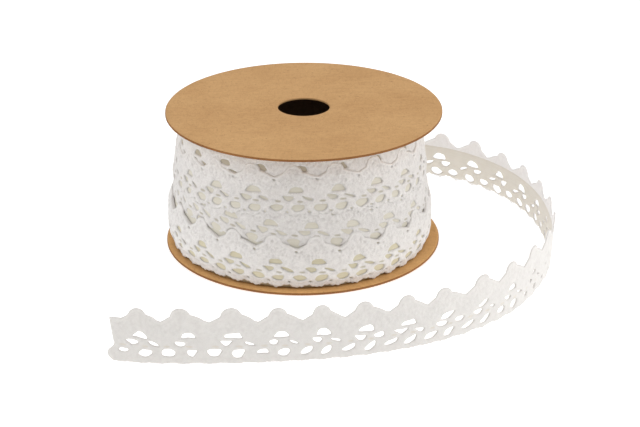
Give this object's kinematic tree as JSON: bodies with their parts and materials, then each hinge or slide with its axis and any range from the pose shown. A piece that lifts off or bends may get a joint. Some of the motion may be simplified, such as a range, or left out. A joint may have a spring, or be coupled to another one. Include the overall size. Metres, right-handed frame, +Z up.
{
  "type": "roll of lace trim on a card spool",
  "caption": "Scalloped crochet lace trim wound on a flanged card spool, its loose end standing on edge in a wide curve beside it.",
  "frame": {"origin": "middle of the underside of the whole part, spool and loose end together, on the table", "axes": "+Z up along the spool's axis, +Y away from the front, +X to the right, where the loose end curves round"},
  "size_m": [0.1346, 0.1362, 0.0433],
  "materials": {
    "kraft_card": "uncoated brown kraft board with fine flecks, dull",
    "tube_card": "grey-brown paperboard in deep shade",
    "cotton_lace": "off-white cotton yarn, crocheted, matt",
    "backing_film": "smooth cream adhesive backing tape behind the lace"
  },
  "bodies": {
    "root": {"flange_bottom": "kraft_card", "flange_top": "kraft_card", "core_tube": "tube_card", "lace_roll": "cotton_lace", "lace_tail": "cotton_lace"}
  },
  "joints": []
}
